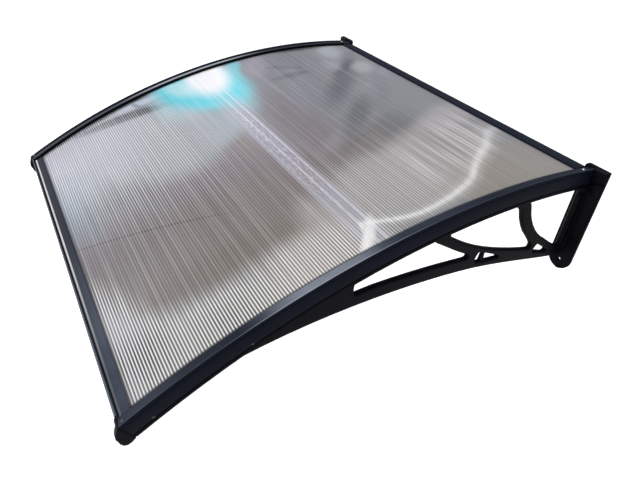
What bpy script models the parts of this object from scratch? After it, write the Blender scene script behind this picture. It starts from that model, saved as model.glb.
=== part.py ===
# Door canopy: a curved twin-wall polycarbonate sheet held in a coated aluminium frame
# on two moulded wall brackets. Metres, +Z up. The wall is the plane Y = 0, the canopy
# reaches forward to -Y, X runs along the wall and +X is the canopy's left seen from it.
# The sheet's top face is one circular arc about an axis parallel to X. A place on a
# section is given by the arc's angle phi (zero at the crown, growing forward) and by the
# height n above the sheet's top face.

import bpy
import bmesh
from math import sin, cos, tan, radians, pi, atan2, hypot, asin, sqrt
from mathutils import Matrix, Vector

for old in list(bpy.data.objects):
    bpy.data.objects.remove(old, do_unlink=True)

# Sheet
open_width = 0.917          # sheet seen between the side trims
arc_radius = 1.624          # to the sheet's top face
rear_angle = radians(-2.5)  # arc angle at the rear bar's lip
sweep_angle = radians(34.6) # arc between the lips of the rear and front bars
rear_line_y = -0.036        # rear bar's lip, measured from the wall
sheet_level = 0.0095        # sheet's top face at that lip
sheet_thickness = 0.005
skin = 0.0006               # each face of the twin wall
rib = 0.0006                # upright between two flutes
rib_pitch = 0.0058
side_cover = 0.0165         # sheet held inside each side trim
end_cover = 0.012           # sheet held inside the rear and front bars
arc_steps = 60              # facets along the sheet's two faces

# Fits
seat_gap = 0.0003           # between any two pieces that touch
slot_play = 0.0004          # sheet to the slot's lower face

# Side trim, an extrusion rolled to the arc
trim_width = 0.0220
lip_height = 0.0053         # top of the inner lip above the sheet
ridge_height = 0.0100       # crest near the trim's outer edge
ridge_inset = 0.0026        # crest to outer face
trim_drop = 0.0245          # underside below the sheet's top face
trim_groove = 0.0010        # shadow groove below the top flange's outer edge
trim_wall = 0.0018
trim_tuck = 0.0020          # lower box reaching in under the sheet
trim_steps = 22
trim_over = 0.0220          # trim's length past the front bar's lip line

# Rear bar
bar_back_y = -0.0083        # its back face, in front of the wall plates
bar_lip = 0.0044            # front edge of its top flange above the sheet
bar_top = 0.0050            # rear edge of its top flange above the sheet
bar_drop = 0.0240
bar_toe = 0.0045            # lower body set back from the lip line
bar_wall = 0.0018

# Wall seal
seal_drop = 0.0190
seal_top = 0.0010           # its top edge above the sheet's top face
tongue_height = 0.0036
tongue_depth = 0.0036
tongue_level = -0.0085      # tongue's middle below the sheet's top face

# Front bar, a box with a gutter along its front
flange_length = 0.0205
flange_wall = 0.0018
gutter_floor = 0.0165       # below the sheet's front edge
gutter_front = 0.0225       # gutter's inner front wall, forward of that edge
front_lip = 0.0032          # front lip's top, below that edge
front_face = 0.0256         # bar's outermost line, forward of that edge
front_drop = 0.0385
front_lean = 0.0050         # front face leaning back by its foot
front_chamfer = 0.0042

# Bracket
arm_width = 0.0135          # all arms, measured along X
arm_edge = 0.0030           # rounding of the arms' long edges
rail_depth = 0.0084         # rail under the side trim
plate_width = 0.0570
plate_thickness = 0.0078
plate_inset = 0.0040        # plate's inner edge, inside the sheet's seen width
plate_top = 0.0138          # above the sheet's top face at the rear lip
plate_round_drop = 0.2145   # centre of its round foot below that face
plate_hole_drop = 0.2210    # lower screw hole below that face
plate_upper_drop = 0.0470   # upper screw hole below that face
screw_hole = 0.0076
boss_radius = 0.0098
boss_height = 0.0060
column_depth = 0.0160       # stiffening column in front of the plate
rim_width = 0.0036          # raised edge round the plate's outer part, with its setback
rim_height = 0.0026
arm_foot_drop = 0.2092      # lower arm's underside at the plate
arm_tip_y = -0.801          # where that underside runs into the rail
lower_depth = 0.0294        # lower arm's height
scroll_depth = 0.0206       # height of the scroll's long limb
hook_radius = 0.2063        # centre line of the scroll's upright limb
hook_top = 0.0280           # its height at the rail
hook_end = 0.0185           # and at the column
corner_round = 0.0060       # in the openings' corners
point_gap = 0.0024          # least step along the openings' outlines
tip_gap = 0.0055            # height of the openings' narrow ends
cheek_depth = 0.0060        # block beside the trim's end, in front of the plate

# End caps at the front corners
cap_front = 0.0317          # cap's nose, forward of the sheet's front edge
cap_drop = 0.0515
cap_round = 0.0090          # height of its curved foot
cap_inner_front = 0.0272    # slimmer half that closes the gutter's end

# Screws
rear_screw_radius = 0.0048
rear_screw_dome = 0.0020
front_screw_radius = 0.0034
front_screw_dome = 0.0015
side_screw_radius = 0.0027
side_screw_dome = 0.0012
shank_ratio = 0.5
side_screw_level = -0.0205  # side screws, below the sheet's top face
side_screw_a_back = 0.0417   # along the arc, behind the trim's front end
side_screw_b_back = 0.2310
front_screw_back = 0.0068   # front screws, back from the trim's front end
front_screw_inset = 0.0080  # front screws, in from the trim's outer face
rear_screw_inset = 0.0100
rear_screw_back = 0.0020    # rear screws, behind the rear lip line

# Values worked out from the sizes above
half_open = open_width / 2
trim_out = half_open + trim_width
arm_out = trim_out + 0.0005
arm_in = arm_out - arm_width
front_angle = rear_angle + sweep_angle
axis_y = rear_line_y + arc_radius * sin(rear_angle)
axis_z = sheet_level - arc_radius * cos(rear_angle)
plate_in = half_open - plate_inset
plate_out = plate_in + plate_width
plate_mid = (plate_in + plate_out) / 2
plate_front = -plate_thickness
bars_half = half_open - trim_tuck - seat_gap


def arc_point(phi, n=0.0):
    """(y, z) at arc angle phi and height n above the sheet's top face."""
    return (axis_y - (arc_radius + n) * sin(phi), axis_z + (arc_radius + n) * cos(phi))


def angle_at(y, n=0.0):
    """Arc angle at which the circle of height n has the given y."""
    return asin((axis_y - y) / (arc_radius + n))


collection = bpy.data.collections.new("polycarbonate_canopy")
bpy.context.scene.collection.children.link(collection)
cutters = bpy.data.collections.new("cutters")
bpy.context.scene.collection.children.link(cutters)


def make_material(name, colour, roughness, metallic=0.0, alpha=1.0):
    """Principled material with a linear base colour."""
    material = bpy.data.materials.new(name)
    material.use_nodes = True
    shader = material.node_tree.nodes["Principled BSDF"]
    shader.inputs["Base Color"].default_value = (*colour, 1.0)
    shader.inputs["Roughness"].default_value = roughness
    shader.inputs["Metallic"].default_value = metallic
    shader.inputs["Alpha"].default_value = alpha
    return material


coated = make_material("slate_coated_aluminium", (0.050, 0.062, 0.085), 0.42, 0.35)
sheet_clear = make_material("polycarbonate_sheet", (0.55, 0.55, 0.53), 0.25, 0.0, 0.85)
moulded = make_material("black_moulded_nylon", (0.010, 0.010, 0.011), 0.45)
rubber = make_material("black_rubber", (0.012, 0.012, 0.012), 0.80)
plated = make_material("plated_steel", (0.62, 0.62, 0.64), 0.25, 1.0)


def outline_mesh(loops):
    """Flat filled face from closed outlines; the ones inside another are holes."""
    curve = bpy.data.curves.new("outline", "CURVE")
    curve.dimensions = "2D"
    curve.fill_mode = "BOTH"
    for loop in loops:
        spline = curve.splines.new("POLY")
        spline.points.add(len(loop) - 1)
        for point, (u, v) in zip(spline.points, loop):
            point.co = (u, v, 0.0, 1.0)
        spline.use_cyclic_u = True
    return curve


def prism(name, loops, low, high, across="X", edge=0.0):
    """Outline extruded between low and high; loops are (y, z) or, across Y, (x, z).

    An edge radius rounds the long edges, with the outline kept as the outermost line.
    """
    curve = outline_mesh(loops)
    curve.extrude = (high - low) / 2 - edge
    curve.bevel_depth = edge
    curve.bevel_resolution = 0
    curve.offset = -edge
    holder = bpy.data.objects.new(name, curve)
    collection.objects.link(holder)
    mesh = bpy.data.meshes.new_from_object(holder)
    bpy.data.objects.remove(holder, do_unlink=True)
    middle = (high + low) / 2
    if across == "X":
        turn = Matrix(((0, 0, 1, middle), (1, 0, 0, 0), (0, 1, 0, 0), (0, 0, 0, 1)))
    else:
        turn = Matrix(((1, 0, 0, 0), (0, 0, -1, middle), (0, 1, 0, 0), (0, 0, 0, 1)))
    mesh.transform(turn)
    return finish(name, mesh)


def finish(name, mesh):
    """Mesh welded, faces out, as an object of the canopy's collection."""
    build = bmesh.new()
    build.from_mesh(mesh)
    bmesh.ops.remove_doubles(build, verts=build.verts, dist=0.00001)
    bmesh.ops.recalc_face_normals(build, faces=build.faces)
    build.to_mesh(mesh)
    build.free()
    mesh.name = name
    made = bpy.data.objects.new(name, mesh)
    collection.objects.link(made)
    return made


def paint(made, material):
    """Give an object its one material."""
    made.data.materials.clear()
    made.data.materials.append(material)
    return made


def rounded(made, width, segments=1, angle=40):
    """Bevel along the edges sharper than the angle, applied to joined flat faces."""
    build = bmesh.new()
    build.from_mesh(made.data)
    bmesh.ops.dissolve_limit(build, angle_limit=radians(0.05), verts=build.verts, edges=build.edges)
    build.to_mesh(made.data)
    build.free()
    bevel = made.modifiers.new("edges", "BEVEL")
    bevel.width = width
    bevel.segments = segments
    bevel.limit_method = "ANGLE"
    bevel.angle_limit = radians(angle)
    bevel.use_clamp_overlap = True
    return applied(made)


def applied(made):
    """Replace an object's mesh by what its modifiers make of it."""
    graph = bpy.context.evaluated_depsgraph_get()
    mesh = bpy.data.meshes.new_from_object(made.evaluated_get(graph))
    made.modifiers.clear()
    made.data = mesh
    mesh.name = made.name
    return made


def combine(made, other, operation):
    """Boolean of one object with another, which is kept only as a hidden cutter."""
    step = made.modifiers.new(operation.lower(), "BOOLEAN")
    step.operation = operation
    step.solver = "EXACT"
    step.object = other
    applied(made)
    for home in list(other.users_collection):
        home.objects.unlink(other)
    cutters.objects.link(other)
    other.hide_render = True
    other.display_type = "WIRE"
    return made


def mirrored(made, name):
    """Copy of a right-hand piece for the other side, reflected in X."""
    mesh = made.data.copy()
    mesh.transform(Matrix.Scale(-1.0, 4, (1, 0, 0)))
    mesh.flip_normals()
    mesh.name = name
    twin = bpy.data.objects.new(name, mesh)
    collection.objects.link(twin)
    return twin


def swept(name, loops, start, end, steps):
    """Section of (x, n) outlines spun about the arc's axis from start to end."""
    mesh = bpy.data.meshes.new(name)
    curve = outline_mesh(loops)
    holder = bpy.data.objects.new(name, curve)
    collection.objects.link(holder)
    mesh = bpy.data.meshes.new_from_object(holder)
    bpy.data.objects.remove(holder, do_unlink=True)
    build = bmesh.new()
    build.from_mesh(mesh)
    for vert in build.verts:
        y, z = arc_point(start, vert.co.y)
        vert.co = (vert.co.x, y, z)
    bmesh.ops.spin(
        build, geom=build.verts[:] + build.edges[:] + build.faces[:],
        cent=(0, axis_y, axis_z), axis=(1, 0, 0), angle=end - start, steps=steps)
    build.to_mesh(mesh)
    build.free()
    return finish(name, mesh)


def softened(points, radius, limit=24):
    """Closed outline with each corner sharper than the limit turned into an arc."""
    result = []
    count = len(points)
    for i, (u, v) in enumerate(points):
        u0, v0 = points[i - 1]
        u1, v1 = points[(i + 1) % count]
        before, after = hypot(u - u0, v - v0), hypot(u1 - u, v1 - v)
        a = ((u - u0) / before, (v - v0) / before)
        b = ((u1 - u) / after, (v1 - v) / after)
        turn = atan2(a[0] * b[1] - a[1] * b[0], a[0] * b[0] + a[1] * b[1])
        if abs(turn) < radians(limit):
            result.append((u, v))
            continue
        back = min(radius * tan(min(abs(turn), radians(150)) / 2), 0.46 * before, 0.46 * after)
        start = (u - a[0] * back, v - a[1] * back)
        end = (u + b[0] * back, v + b[1] * back)
        pieces = 2 + int(abs(turn) / radians(35))
        for k in range(pieces):
            t = k / (pieces - 1)
            result.append(tuple((1 - t) ** 2 * p + 2 * t * (1 - t) * c + t * t * q
                                for p, c, q in zip(start, (u, v), end)))
    kept = []
    for point in result:
        if not kept or hypot(point[0] - kept[-1][0], point[1] - kept[-1][1]) > point_gap:
            kept.append(point)
    return kept


def offset_line(centre, widths):
    """Edge of a limb: its centre line moved sideways by the given distances."""
    edge = []
    for i, (y, z) in enumerate(centre):
        y0, z0 = centre[max(i - 1, 0)]
        y1, z1 = centre[min(i + 1, len(centre) - 1)]
        length = hypot(y1 - y0, z1 - z0)
        edge.append((y - (z1 - z0) / length * widths[i], z + (y1 - y0) / length * widths[i]))
    return edge


def arc_through(p, q, radius, count, side=1):
    """Points on the circle of the given radius from p to q, bulging to one side."""
    my, mz = (p[0] + q[0]) / 2, (p[1] + q[1]) / 2
    dy, dz = q[0] - p[0], q[1] - p[1]
    chord = hypot(dy, dz)
    rise = sqrt(radius * radius - chord * chord / 4)
    cy, cz = my + side * dz / chord * rise, mz - side * dy / chord * rise
    a0 = atan2(p[1] - cz, p[0] - cy)
    a1 = atan2(q[1] - cz, q[0] - cy)
    while a1 - a0 > pi:
        a1 -= 2 * pi
    while a1 - a0 < -pi:
        a1 += 2 * pi
    steps = [a0 + (a1 - a0) * i / (count - 1) for i in range(count)]
    return [(cy + radius * cos(a), cz + radius * sin(a)) for a in steps]


def bezier(p0, p1, p2, p3, count):
    """Points on a cubic curve with the given ends and handles."""
    points = []
    for i in range(count):
        t = i / (count - 1)
        a, b, c, d = (1 - t) ** 3, 3 * t * (1 - t) ** 2, 3 * t * t * (1 - t), t ** 3
        points.append(tuple(a * u + b * v + c * w + d * x
                            for u, v, w, x in zip(p0, p1, p2, p3)))
    return points


def circle(cu, cv, radius, count, start=0.0, turn=2 * pi):
    """Points round a circle, or part of one."""
    whole = abs(turn - 2 * pi) < 1e-6
    last = count if whole else count - 1
    return [(cu + radius * cos(start + turn * i / last), cv + radius * sin(start + turn * i / last))
            for i in range(count)]


# Twin-wall sheet. Its flutes are open tunnels along X, side by side from bar to bar.
sheet_start = rear_angle - end_cover / arc_radius
sheet_end = front_angle + end_cover / arc_radius
sheet_length = (sheet_end - sheet_start) * arc_radius
sheet_steps = [sheet_start + (sheet_end - sheet_start) * i / arc_steps for i in range(arc_steps + 1)]
sheet_loops = [[arc_point(a) for a in sheet_steps]
               + [arc_point(a, -sheet_thickness) for a in reversed(sheet_steps)]]
flute_count = int((sheet_length - rib) / rib_pitch)
flute_half = (rib_pitch - rib) / 2 / arc_radius
first_flute = (sheet_start + sheet_end) / 2 - (flute_count - 1) / 2 * rib_pitch / arc_radius
for k in range(flute_count):
    middle = first_flute + k * rib_pitch / arc_radius
    sheet_loops.append([
        arc_point(middle - flute_half, -skin), arc_point(middle + flute_half, -skin),
        arc_point(middle + flute_half, skin - sheet_thickness),
        arc_point(middle - flute_half, skin - sheet_thickness)])
sheet_half = half_open + side_cover
paint(prism("sheet", sheet_loops, -sheet_half, sheet_half), sheet_clear)

# Side trim: top flange with a lip on the sheet, outer web, and a closed box under the
# sheet. It is cut square at the wall plate and ends on the cap at the front.
slot_floor = -sheet_thickness - slot_play
crest_x = trim_out - ridge_inset
trim_outer = [
    (half_open, seat_gap), (half_open, lip_height - 0.0006), (half_open + 0.0006, lip_height),
    (crest_x - 0.0014, ridge_height), (crest_x, ridge_height + 0.0003),
    (crest_x + 0.0014, ridge_height - 0.0002), (trim_out, ridge_height - 0.0022),
    (trim_out, ridge_height - 0.0044), (trim_out - trim_groove, ridge_height - 0.0050),
    (trim_out - trim_groove, ridge_height - 0.0060), (trim_out, ridge_height - 0.0072),
    (trim_out, -trim_drop + 0.0008), (trim_out - 0.0008, -trim_drop),
    (half_open - trim_tuck + 0.0008, -trim_drop), (half_open - trim_tuck, -trim_drop + 0.0008),
    (half_open - trim_tuck, slot_floor), (trim_out - trim_wall, slot_floor),
    (trim_out - trim_wall, ridge_height - 0.0086), (trim_out - trim_wall - trim_groove, ridge_height - 0.0064),
    (trim_out - trim_wall - trim_groove, ridge_height - 0.0034), (crest_x - 0.0014, ridge_height - trim_wall),
    (half_open + trim_wall, lip_height - trim_wall), (half_open + trim_wall, seat_gap)]
trim_box = [
    (half_open - trim_tuck + trim_wall, slot_floor - trim_wall),
    (trim_out - trim_wall, slot_floor - trim_wall),
    (trim_out - trim_wall, trim_wall - trim_drop),
    (half_open - trim_tuck + trim_wall, trim_wall - trim_drop)]
trim_end = front_angle + trim_over / arc_radius
side_trim = swept("side_trim_left", [trim_outer, trim_box],
                  angle_at(bar_back_y + 0.004), trim_end, trim_steps)
rear_cut = prism("trim_rear_cut", [[(bar_back_y, -0.06), (0.02, -0.06), (0.02, 0.06), (bar_back_y, 0.06)]],
                 half_open - 0.02, trim_out + 0.02)
combine(side_trim, rear_cut, "DIFFERENCE")
paint(side_trim, coated)

# Rear bar: flat top flange over the sheet's end, slot, and a closed box below it.


def rear_point(t, n):
    """(y, z) from the rear lip line, t backward along the sheet and n above it."""
    return arc_point(rear_angle - t / arc_radius, n)


rear_top_z = sheet_level + bar_top
rear_low_z = sheet_level - bar_drop
toe_y = rear_line_y + bar_toe
slot_depth = end_cover + 0.001
tongue_z = sheet_level + tongue_level
groove_half = tongue_height / 2 + seat_gap
rear_outer = [
    rear_point(0, seat_gap), rear_point(0, bar_lip - 0.0005),
    (rear_line_y + 0.0006, sheet_level + bar_lip),
    (bar_back_y - 0.0010, rear_top_z), (bar_back_y, rear_top_z - 0.0010),
    (bar_back_y, tongue_z + groove_half),
    (bar_back_y - tongue_depth - seat_gap, tongue_z + groove_half),
    (bar_back_y - tongue_depth - seat_gap, tongue_z - groove_half),
    (bar_back_y, tongue_z - groove_half), (bar_back_y, rear_low_z),
    (toe_y, rear_low_z), (toe_y, sheet_level + slot_floor - bar_wall - 0.001),
    rear_point(0.0008, slot_floor - bar_wall), rear_point(0.0008, slot_floor),
    rear_point(slot_depth, slot_floor), rear_point(slot_depth, seat_gap)]
box_front = toe_y + bar_wall
box_back = bar_back_y - tongue_depth - seat_gap - bar_wall
box_low = rear_low_z + bar_wall
box_high = sheet_level + slot_floor - 2 * bar_wall
rear_box = [(box_front, box_low), (box_back, box_low), (box_back, box_high), (box_front, box_high)]
top_front = rear_line_y + slot_depth + bar_wall
top_box = [
    (top_front + 0.0010, sheet_level - 0.0004), (box_back, sheet_level - 0.0004),
    (box_back, rear_top_z - bar_wall), (top_front + 0.0010, rear_top_z - bar_wall - 0.0003)]
paint(prism("rear_bar", [rear_outer, rear_box, top_box], -bars_half, bars_half), coated)

# Wall seal: a rubber strip that fills the gap to the wall, its tongue in the bar's back.
seal_front = bar_back_y + seat_gap
seal_z0 = sheet_level - seal_drop
seal_z1 = sheet_level + seal_top
seal_outline = [
    (seal_front, seal_z0), (-0.0012, seal_z0), (0.0, seal_z0 + 0.0012),
    (0.0, seal_z1 - 0.0012), (-0.0012, seal_z1), (seal_front, seal_z1),
    (seal_front, tongue_z + tongue_height / 2),
    (bar_back_y - tongue_depth, tongue_z + tongue_height / 2),
    (bar_back_y - tongue_depth, tongue_z - tongue_height / 2),
    (seal_front, tongue_z - tongue_height / 2)]
seal_half = plate_in - seat_gap
paint(prism("wall_seal", [seal_outline], -seal_half, seal_half), rubber)

# Front bar: sloping flange over the sheet's end, slot, gutter and closed box.
front_y, front_z = arc_point(front_angle)


def front_point(t, n):
    """(y, z) from the front lip line, t forward along the sheet and n above it."""
    return (front_y - t * cos(front_angle) - n * sin(front_angle),
            front_z - t * sin(front_angle) + n * cos(front_angle))


def ahead(forward, up):
    """(y, z) level forward and up from the front lip line."""
    return (front_y - forward, front_z + up)


front_outer = [
    front_point(0, seat_gap), front_point(0, flange_wall - 0.0004 + seat_gap),
    front_point(0.0006, flange_wall + seat_gap),
    front_point(flange_length - 0.0008, flange_wall + seat_gap),
    front_point(flange_length + 0.0002, flange_wall - 0.0006),
    ahead(0.0186, 0.0025 - gutter_floor), ahead(0.0200, -gutter_floor),
    ahead(gutter_front - 0.0012, -gutter_floor), ahead(gutter_front, 0.0012 - gutter_floor),
    ahead(gutter_front, -front_lip - 0.0006), ahead(gutter_front + 0.0006, -front_lip),
    ahead(front_face - 0.0010, -front_lip), ahead(front_face, -front_lip - 0.0010),
    ahead(front_face - front_lean * 0.30, -0.0140),
    ahead(front_face - front_lean, front_chamfer - front_drop),
    ahead(front_face - front_lean - front_chamfer, -front_drop),
    ahead(0.0080, -front_drop), ahead(-0.0090, -0.0075),
    front_point(-0.008, slot_floor - 0.0012), front_point(-0.008, slot_floor),
    front_point(slot_depth, slot_floor), front_point(slot_depth, seat_gap)]
box_top = -gutter_floor - trim_wall
box_foot = front_face - front_lean - trim_wall
front_box = [
    ahead(-0.0060, -0.0082), ahead(0.0075, -0.0162), ahead(0.0170, box_top),
    ahead(front_face - front_lean * 0.45 - trim_wall, box_top),
    ahead(box_foot, front_chamfer - front_drop + 0.0008),
    ahead(box_foot - front_chamfer + 0.0010, trim_wall - front_drop),
    ahead(0.0092, trim_wall - front_drop)]
paint(prism("front_bar", [front_outer, front_box], -bars_half, bars_half), coated)

# End cap: its outer block closes the trim's and the rail's ends, its slimmer inner half
# the end of the gutter. Both stand in front of the bar.
rail_low = -trim_drop - seat_gap - rail_depth
rail_top = -trim_drop - seat_gap
end_y = front_y - trim_over * cos(front_angle)
end_z = front_z - trim_over * sin(front_angle)


def trim_face(n, gap):
    """(y, z) on the trim's cut front end, at height n and a gap in front of it."""
    return (end_y - gap * cos(front_angle) - n * sin(front_angle),
            end_z - gap * sin(front_angle) + n * cos(front_angle))


cap_outer = [
    trim_face(ridge_height + 0.0010, seat_gap), ahead(cap_front - 0.0041, -0.0094),
    ahead(cap_front - 0.0013, -0.0199), ahead(cap_front, -0.0295),
    ahead(cap_front - 0.0021, 2 * cap_round - cap_drop), ahead(cap_front - 0.0051, cap_round - cap_drop),
    ahead(cap_front - 0.0099, 0.0020 - cap_drop), ahead(cap_front - 0.0169, -cap_drop),
    ahead(0.0075, 0.0040 - cap_drop), trim_face(rail_low - 0.0004, seat_gap)]
cap_inner = [
    trim_face(ridge_height - 0.0010, seat_gap + 0.0002), ahead(cap_inner_front - 0.0006, -0.0080),
    ahead(cap_inner_front, -0.0150), ahead(cap_inner_front - 0.0010, -0.0260),
    ahead(cap_inner_front - 0.0037, -0.0330), ahead(0.0150, -0.0390), trim_face(-trim_drop, seat_gap + 0.0002)]
cap = rounded(prism("end_cap_left", [cap_outer], arm_in, arm_out), 0.0014, 2, 35)
cap_half = rounded(prism("cap_half", [cap_inner], half_open - trim_tuck, arm_in + 0.0030), 0.0010, 1, 35)
paint(combine(cap, cap_half, "UNION"), moulded)

# Bracket: one moulding with wall plate, column, rail, lower arm and scroll.
rail_count = 25
rail_front = trim_end
rail_back = angle_at(plate_front + 0.003, rail_top)
rail_angles = [rail_back + (rail_front - rail_back) * i / (rail_count - 1) for i in range(rail_count)]
rail_loop = ([arc_point(a, rail_top) for a in rail_angles]
             + [arc_point(a, rail_low) for a in reversed(rail_angles)])
bracket = rounded(prism("bracket_left", [rail_loop], half_open - trim_tuck, arm_out + 0.0002), 0.0012, 1)

plate_z1 = sheet_level + plate_top
plate_round_z = sheet_level - plate_round_drop
plate_hole_z = sheet_level - plate_hole_drop
plate_upper_z = sheet_level - plate_upper_drop
plate_half = plate_width / 2
plate_loop = ([(plate_out, plate_z1)]
              + circle(plate_in + 0.008, plate_z1 - 0.008, 0.008, 5, pi / 2, pi / 2)
              + circle(plate_mid, plate_round_z, plate_half, 17, pi, pi))
plate = rounded(prism("wall_plate", [plate_loop], plate_front, 0.0, "Y"), 0.0008, 1)
rim_inner = plate_half - rim_width
column_edge = arm_out + 0.0015
rim_loop = ([(plate_out - 0.0010, plate_z1 - 0.030), (plate_out - 0.0010, plate_round_z)]
            + circle(plate_mid, plate_round_z, plate_half - 0.0010, 9, 0, -pi / 2)[1:]
            + circle(plate_mid, plate_round_z, rim_inner, 9, -pi / 2, pi / 2)
            + [(plate_out - rim_width, plate_z1 - 0.040), (plate_out - rim_width - 0.006, plate_z1 - 0.034),
               (column_edge, plate_z1 - 0.0445), (column_edge, plate_z1 - 0.0415),
               (plate_out - rim_width - 0.005, plate_z1 - 0.0305)])
rim = prism("plate_rim", [rim_loop], plate_front - rim_height, plate_front + 0.002, "Y")

boss = prism("boss", [circle(plate_mid, plate_upper_z, boss_radius, 16)],
             plate_front - boss_height, plate_front + 0.002, "Y")
cheek_loop = [
    (arm_out + 0.0008, plate_z1 - 0.0015), (plate_out - 0.0008, plate_z1 - 0.0015),
    (plate_out - 0.0008, plate_z1 - 0.0210), (arm_out + 0.0008, plate_z1 - 0.0340)]
cheek = rounded(prism("cheek", [cheek_loop], plate_front - cheek_depth, plate_front + 0.002, "Y"), 0.0010, 1)

# The limbs share one flat outline: the lower arm's underside, the plate and the rail
# bound it, and five openings leave the column, the hook, the scroll and their webs.
root_y = plate_front + 0.004
rail_core = rail_top - 0.0008


def sheet_side(y, z):
    """(y, z) from a height measured below the sheet's top face at its rear line."""
    return (y, sheet_level - z)


def foot_side(y, share):
    """(y, z) from a height given as a share of the lower arm's drop at the plate."""
    return (y, sheet_level - share * arm_foot_drop)


under_foot = sheet_side(root_y, arm_foot_drop)
under_knee = foot_side(-0.336, 0.7634)
under_tip = arc_point(angle_at(arm_tip_y, rail_low), rail_low)
under = bezier(under_foot, (under_foot[0] - 0.056, under_foot[1]),
               (under_knee[0] + 0.121, under_knee[1] - 0.0072), under_knee, 11)
under += bezier(under_knee, (under_knee[0] - 0.140, under_knee[1] + 0.0098),
                (under_tip[0] + 0.150, under_tip[1] + 0.037), under_tip, 12)[1:]
over = offset_line(under, [-lower_depth] * len(under))
tip_in = arc_point(angle_at(arm_tip_y - 0.004, rail_core), rail_core)
core = [arc_point(rail_back + (angle_at(arm_tip_y, rail_core) - rail_back) * i / 14, rail_core)
        for i in range(14, 0, -1)]
outer_loop = under + [tip_in] + core + [arc_point(angle_at(root_y, rail_core), rail_core)]

hook_line = arc_through(sheet_side(-0.1972, 0.0240), foot_side(root_y, 0.8566), hook_radius, 13, -1)
hook_half = [0.5 * (hook_top - (hook_top - hook_end) * i / 12) for i in range(13)]
hook_back = offset_line(hook_line, hook_half)
hook_front = offset_line(hook_line, [-h for h in hook_half])
scroll_top = bezier(sheet_side(-0.408, 0.0510), foot_side(-0.343, 0.4130),
                    foot_side(-0.3112, 0.5774), foot_side(-0.116, 0.7839), 15)
scroll_under = offset_line(scroll_top, [-scroll_depth] * 15)


def rail_edge(y0, y1, count):
    """Points along the rail's underside between two values of y."""
    return [arc_point(angle_at(y0 + (y1 - y0) * i / (count - 1), rail_low), rail_low) for i in range(count)]


def under_rail(points):
    """Those points of an edge that lie clear below the rail."""
    return [(y, z) for y, z in points if hypot(y - axis_y, z - axis_z) < arc_radius + rail_low - tip_gap]


column_y = plate_front - column_depth
back_edge = [p for p in under_rail(hook_back) if p[0] < -0.081]
back_foot = [foot_side(y, part) for y, part in (
    (-0.0660, 0.7648), (-0.0510, 0.8102), (-0.0390, 0.8427), (-0.0310, 0.8542))]
back_space = ([(column_y, arc_point(angle_at(column_y, rail_low), rail_low)[1]),
               foot_side(column_y, 0.8580)]
              + back_foot[::-1] + back_edge[::-1]
              + rail_edge(back_edge[0][0] - 0.006, column_y - 0.04, 4))
front_edge = [p for p in under_rail(hook_front) if p[1] > foot_side(0, 0.5593)[1]]
front_foot = [foot_side(y, part) for y, part in (
    (-0.1540, 0.5913), (-0.1390, 0.6663), (-0.1300, 0.7218), (-0.1290, 0.7648))]
top_edge = [p for p in under_rail(scroll_top) if p[0] < -0.140]
scroll_space = (front_edge + front_foot + top_edge[::-1]
                + rail_edge(top_edge[0][0] - 0.006, front_edge[0][0] - 0.016, 6))
below = [p for p in under_rail(scroll_under) if p[0] < -0.325]
over_edge = [p for p in over if -0.345 > p[0] > -0.570]
long_end = foot_side(-0.5895, 0.6310)
long_space = (below + [foot_side(-0.3240, 0.5760), foot_side(-0.3215, 0.6252)] + over_edge
              + [long_end] + rail_edge(-0.5895, below[0][0] - 0.006, 6))
heel_hole = [foot_side(y, part) for y, part in (
    (-0.1165, 0.8246), (-0.1165, 0.7863), (-0.1085, 0.7361), (-0.1030, 0.7505),
    (-0.0840, 0.8078), (-0.0690, 0.8509), (-0.0665, 0.8676), (-0.0690, 0.8834),
    (-0.0810, 0.8724), (-0.0990, 0.8437))]
window = [foot_side(y, part) for y, part in (
    (-0.2945, 0.5999), (-0.2865, 0.6037), (-0.2760, 0.6233), (-0.2450, 0.6836),
    (-0.2290, 0.7185), (-0.2290, 0.7419), (-0.2560, 0.7314), (-0.2760, 0.7228),
    (-0.2945, 0.7098), (-0.2990, 0.6931), (-0.2985, 0.6597))]
strut_outline = [foot_side(y, part) for y, part in (
    (-0.2780, 0.5808), (-0.2730, 0.5903), (-0.2690, 0.7600), (-0.2830, 0.7505))]
limb_loops = [outer_loop]
limb_loops += [softened(loop, corner_round) for loop in (back_space, scroll_space, long_space)]
limb_loops += [softened(loop, corner_round / 2) for loop in (heel_hole, window)]
limbs = prism("limbs", limb_loops, arm_in, arm_out, "X", arm_edge)

strut = prism("strut", [strut_outline], arm_in + 0.0035, arm_out - 0.0040)

nub_y, nub_z = foot_side(-0.1245, 0.5856)
nub = prism("nub", [[(nub_y - 0.006, nub_z - 0.004), (nub_y + 0.0012, nub_z - 0.0022),
                     (nub_y + 0.0020, nub_z + 0.0018), (nub_y - 0.003, nub_z + 0.005)]],
            arm_in + 0.0045, arm_out - 0.0045)

for extra in (limbs, plate, rim, boss, cheek, strut, nub):
    combine(bracket, extra, "UNION")

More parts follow.
